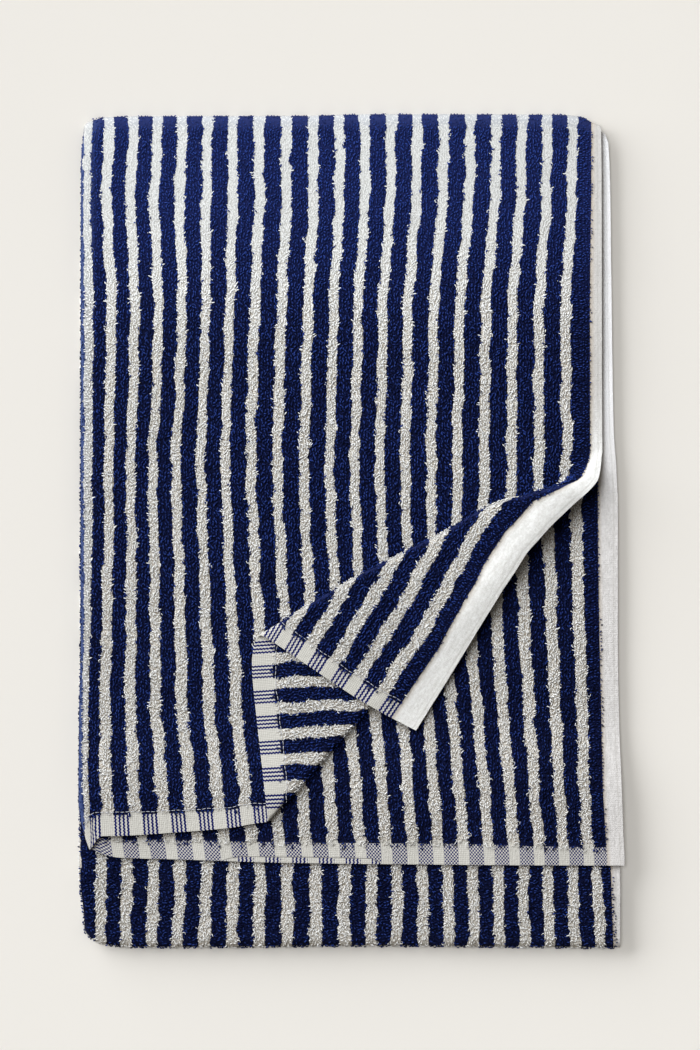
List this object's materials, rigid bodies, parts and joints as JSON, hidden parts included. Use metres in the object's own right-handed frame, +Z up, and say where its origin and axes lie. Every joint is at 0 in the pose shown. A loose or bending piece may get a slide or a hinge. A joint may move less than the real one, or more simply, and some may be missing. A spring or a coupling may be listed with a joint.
{
  "type": "bath sheet",
  "caption": "Large striped terry towel, folded in half and over on itself into a flat rectangle, one top corner laid back in a pleat.",
  "frame": {"origin": "centre of the folded towel's bounding box in plan, at its underside", "axes": "+Z up from the underside, +Y along the towel's length from the bottom fold to the top fold, +X from the long fold on the left to the free side edges"},
  "size_m": [0.517, 0.793, 0.036],
  "materials": {
    "striped_terry": "looped cotton pile in lengthwise stripes, plain woven hems and side bands, no shine"
  },
  "bodies": {
    "root": {"towel": "striped_terry"}
  },
  "joints": []
}
